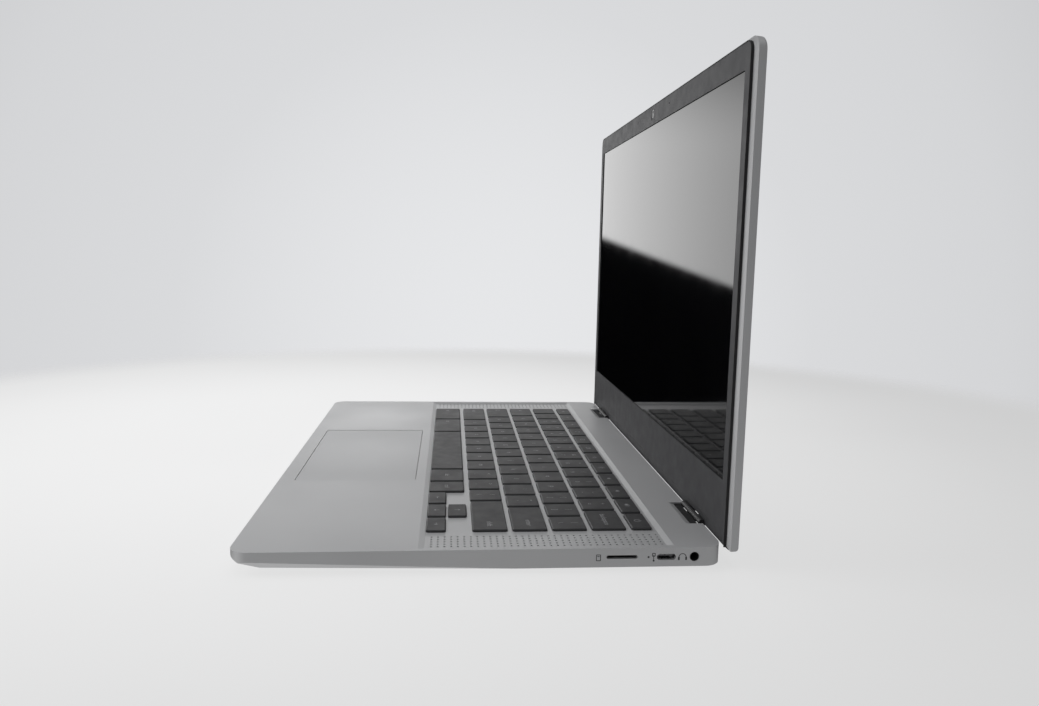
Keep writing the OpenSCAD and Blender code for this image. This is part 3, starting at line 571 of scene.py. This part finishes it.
def math_node(tree, operation, first, second):
    """A maths node; each of first and second is a socket or a number."""
    made = tree.nodes.new("ShaderNodeMath")
    made.operation = operation
    for socket, value in zip(made.inputs, (first, second)):
        if hasattr(value, "is_linked"):
            tree.links.new(value, socket)
        else:
            socket.default_value = value
    return made.outputs["Value"]


def smooth(tree, value, start, end, low=0.0, high=1.0):
    """Runs softly from low to high while value goes from start to end."""
    made = tree.nodes.new("ShaderNodeMapRange")
    made.interpolation_type = "SMOOTHSTEP"
    made.inputs["From Min"].default_value = start
    made.inputs["From Max"].default_value = end
    made.inputs["To Min"].default_value = low
    made.inputs["To Max"].default_value = high
    tree.links.new(value, made.inputs["Value"])
    return made.outputs["Result"]


def floor_finish():
    made, tree, shader, where = new_material("pale_floor")
    tone = spread(tree, noise(tree, where, 6.0, 2.0), 0.0, 1.0)
    tree.links.new(blend_colours(tree, tone, (0.2, 0.2, 0.2), (0.21, 0.21, 0.21)),
                   shader.inputs["Base Color"])
    shader.inputs["Roughness"].default_value = 0.9
    shader.inputs["Specular IOR Level"].default_value = 0.0
    shader.inputs["Emission Color"].default_value = (1.0, 1.0, 1.0, 1.0)
    away = tree.nodes.new("ShaderNodeVectorMath")
    away.operation = "DISTANCE"
    away.inputs[1].default_value = GLOW_CENTRE
    tree.links.new(where, away.inputs[0])
    tree.links.new(smooth(tree, away.outputs["Value"], GLOW_FROM, GLOW_TO, FLOOR_GLOW,
                          EDGE_GLOW),
                   shader.inputs["Emission Strength"])
    length = tree.nodes.new("ShaderNodeVectorMath")
    length.operation = "LENGTH"
    tree.links.new(where, length.inputs[0])
    fade = smooth(tree, length.outputs["Value"], FADE_FROM, FADE_TO)
    clear = tree.nodes.new("ShaderNodeBsdfTransparent")
    mixed = tree.nodes.new("ShaderNodeMixShader")
    tree.links.new(fade, mixed.inputs["Fac"])
    tree.links.new(shader.outputs["BSDF"], mixed.inputs[1])
    tree.links.new(clear.outputs["BSDF"], mixed.inputs[2])
    tree.links.new(mixed.outputs["Shader"], tree.nodes["Material Output"].inputs["Surface"])
    return made


turn = 2 * math.pi / FLOOR_SIDES
floor_mesh = bpy.data.meshes.new("floor")
floor_mesh.from_pydata([(FLOOR_R * math.cos(turn * i), FLOOR_R * math.sin(turn * i), 0)
                        for i in range(FLOOR_SIDES)], [], [list(range(FLOOR_SIDES))])
floor_mesh.materials.append(floor_finish())
floor = bpy.data.objects.new("floor", floor_mesh)
bpy.context.scene.collection.objects.link(floor)
floor.visible_glossy = False

# A wide dome that only mirror-like surfaces see: a bright band on the far side with a slanting
# lower edge, dark under it, a bright front and a dim near side
DOME_R = 3.0
BAND = 1.7
BAND_EDGE = 0.112
BAND_SLANT = 0.364


def dome_finish():
    made = bpy.data.materials.new("studio_dome")
    made.use_nodes = True
    tree = made.node_tree
    tree.nodes.remove(tree.nodes["Principled BSDF"])
    place = tree.nodes.new("ShaderNodeTexCoord")
    unit = tree.nodes.new("ShaderNodeVectorMath")
    unit.operation = "NORMALIZE"
    tree.links.new(place.outputs["Object"], unit.inputs[0])
    parts = tree.nodes.new("ShaderNodeSeparateXYZ")
    tree.links.new(unit.outputs["Vector"], parts.inputs["Vector"])
    x, y, z = parts.outputs
    height = math_node(tree, "SUBTRACT", z, math_node(tree, "MULTIPLY", y, BAND_SLANT))
    over_edge = smooth(tree, height, BAND_EDGE - 0.006, BAND_EDGE + 0.006)
    fades_up = smooth(tree, z, 0.18, 0.38, BAND, 0.2)
    band = math_node(tree, "MULTIPLY", over_edge, fades_up)
    from_below = smooth(tree, z, -0.75, -0.45, 0.5, 0.0)
    far_side = math_node(tree, "ADD", band, from_below)
    front = smooth(tree, y, -0.95, -0.25, 0.65, 0.1)
    above = smooth(tree, z, 0.5, 1.0, 0.0, 0.5)
    near_side = math_node(tree, "ADD", front, above)
    is_far = smooth(tree, x, 0.1, -0.25)
    far_part = math_node(tree, "MULTIPLY", far_side, is_far)
    near_part = math_node(tree, "MULTIPLY", near_side, math_node(tree, "SUBTRACT", 1.0, is_far))
    glow = tree.nodes.new("ShaderNodeEmission")
    tree.links.new(math_node(tree, "ADD", far_part, near_part), glow.inputs["Strength"])
    tree.links.new(glow.outputs["Emission"], tree.nodes["Material Output"].inputs["Surface"])
    made.cycles.emission_sampling = "NONE"
    return made


dome_mesh = bmesh.new()
bmesh.ops.create_icosphere(dome_mesh, subdivisions=5, radius=DOME_R)
dome_data = bpy.data.meshes.new("studio_dome")
dome_mesh.to_mesh(dome_data)
dome_mesh.free()
dome_data.materials.append(dome_finish())
dome = bpy.data.objects.new("studio_dome", dome_data)
bpy.context.scene.collection.objects.link(dome)
dome.visible_camera = False
dome.visible_diffuse = False
dome.visible_transmission = False
dome.visible_volume_scatter = False
dome.visible_shadow = False

# The world grows paler from behind the camera to the far side: (place, tone)
FAR_WAY = (-0.995, 0.06, -0.1)
NEAR_COLOUR = (0.22, 0.222, 0.227, 1)
FAR_COLOUR = (0.79, 0.797, 0.812, 1)
MIDDLE_TONES = ((0.87, 0.56), (0.895, 0.615), (0.92, 0.66), (0.965, 0.695))
COOL = (1.0, 1.009, 1.03)

world = bpy.data.worlds.new("studio")
bpy.context.scene.world = world
world.use_nodes = True
sky = world.node_tree
way = sky.nodes.new("ShaderNodeTexCoord")
facing = sky.nodes.new("ShaderNodeVectorMath")
facing.operation = "DOT_PRODUCT"
facing.inputs[1].default_value = Vector(FAR_WAY).normalized()
sky.links.new(way.outputs["Generated"], facing.inputs[0])
ramp = sky.nodes.new("ShaderNodeValToRGB")
ramp.color_ramp.elements[0].position = 0.0
ramp.color_ramp.elements[0].color = NEAR_COLOUR
ramp.color_ramp.elements[1].position = 1.0
ramp.color_ramp.elements[1].color = FAR_COLOUR
for place_at, tone in MIDDLE_TONES:
    stop = ramp.color_ramp.elements.new(place_at)
    stop.color = (*[tone * share for share in COOL], 1)
half = sky.nodes.new("ShaderNodeMapRange")
half.inputs["From Min"].default_value = -1.0
sky.links.new(facing.outputs["Value"], half.inputs["Value"])
sky.links.new(half.outputs["Result"], ramp.inputs["Fac"])
sky.links.new(ramp.outputs["Color"], sky.nodes["Background"].inputs["Color"])


def soft_light(name, spot, aim, size, power):
    lamp = bpy.data.lights.new(name, "AREA")
    lamp.shape = "SQUARE"
    lamp.size = size
    lamp.energy = power
    holder = bpy.data.objects.new(name, lamp)
    holder.location = spot
    holder.rotation_euler = (Vector(aim) - Vector(spot)).to_track_quat("-Z", "Y").to_euler()
    bpy.context.scene.collection.objects.link(holder)
    holder.visible_glossy = False
    holder.visible_camera = False


soft_light("key_light", (-0.2, -1.7, 1.3), (0, 0, 0.05), 0.9, 7.5)
soft_light("top_light", (-0.35, -0.25, 2.2), (0, 0, 0), 1.8, 9.0)

bpy.context.scene.view_settings.view_transform = "Standard"
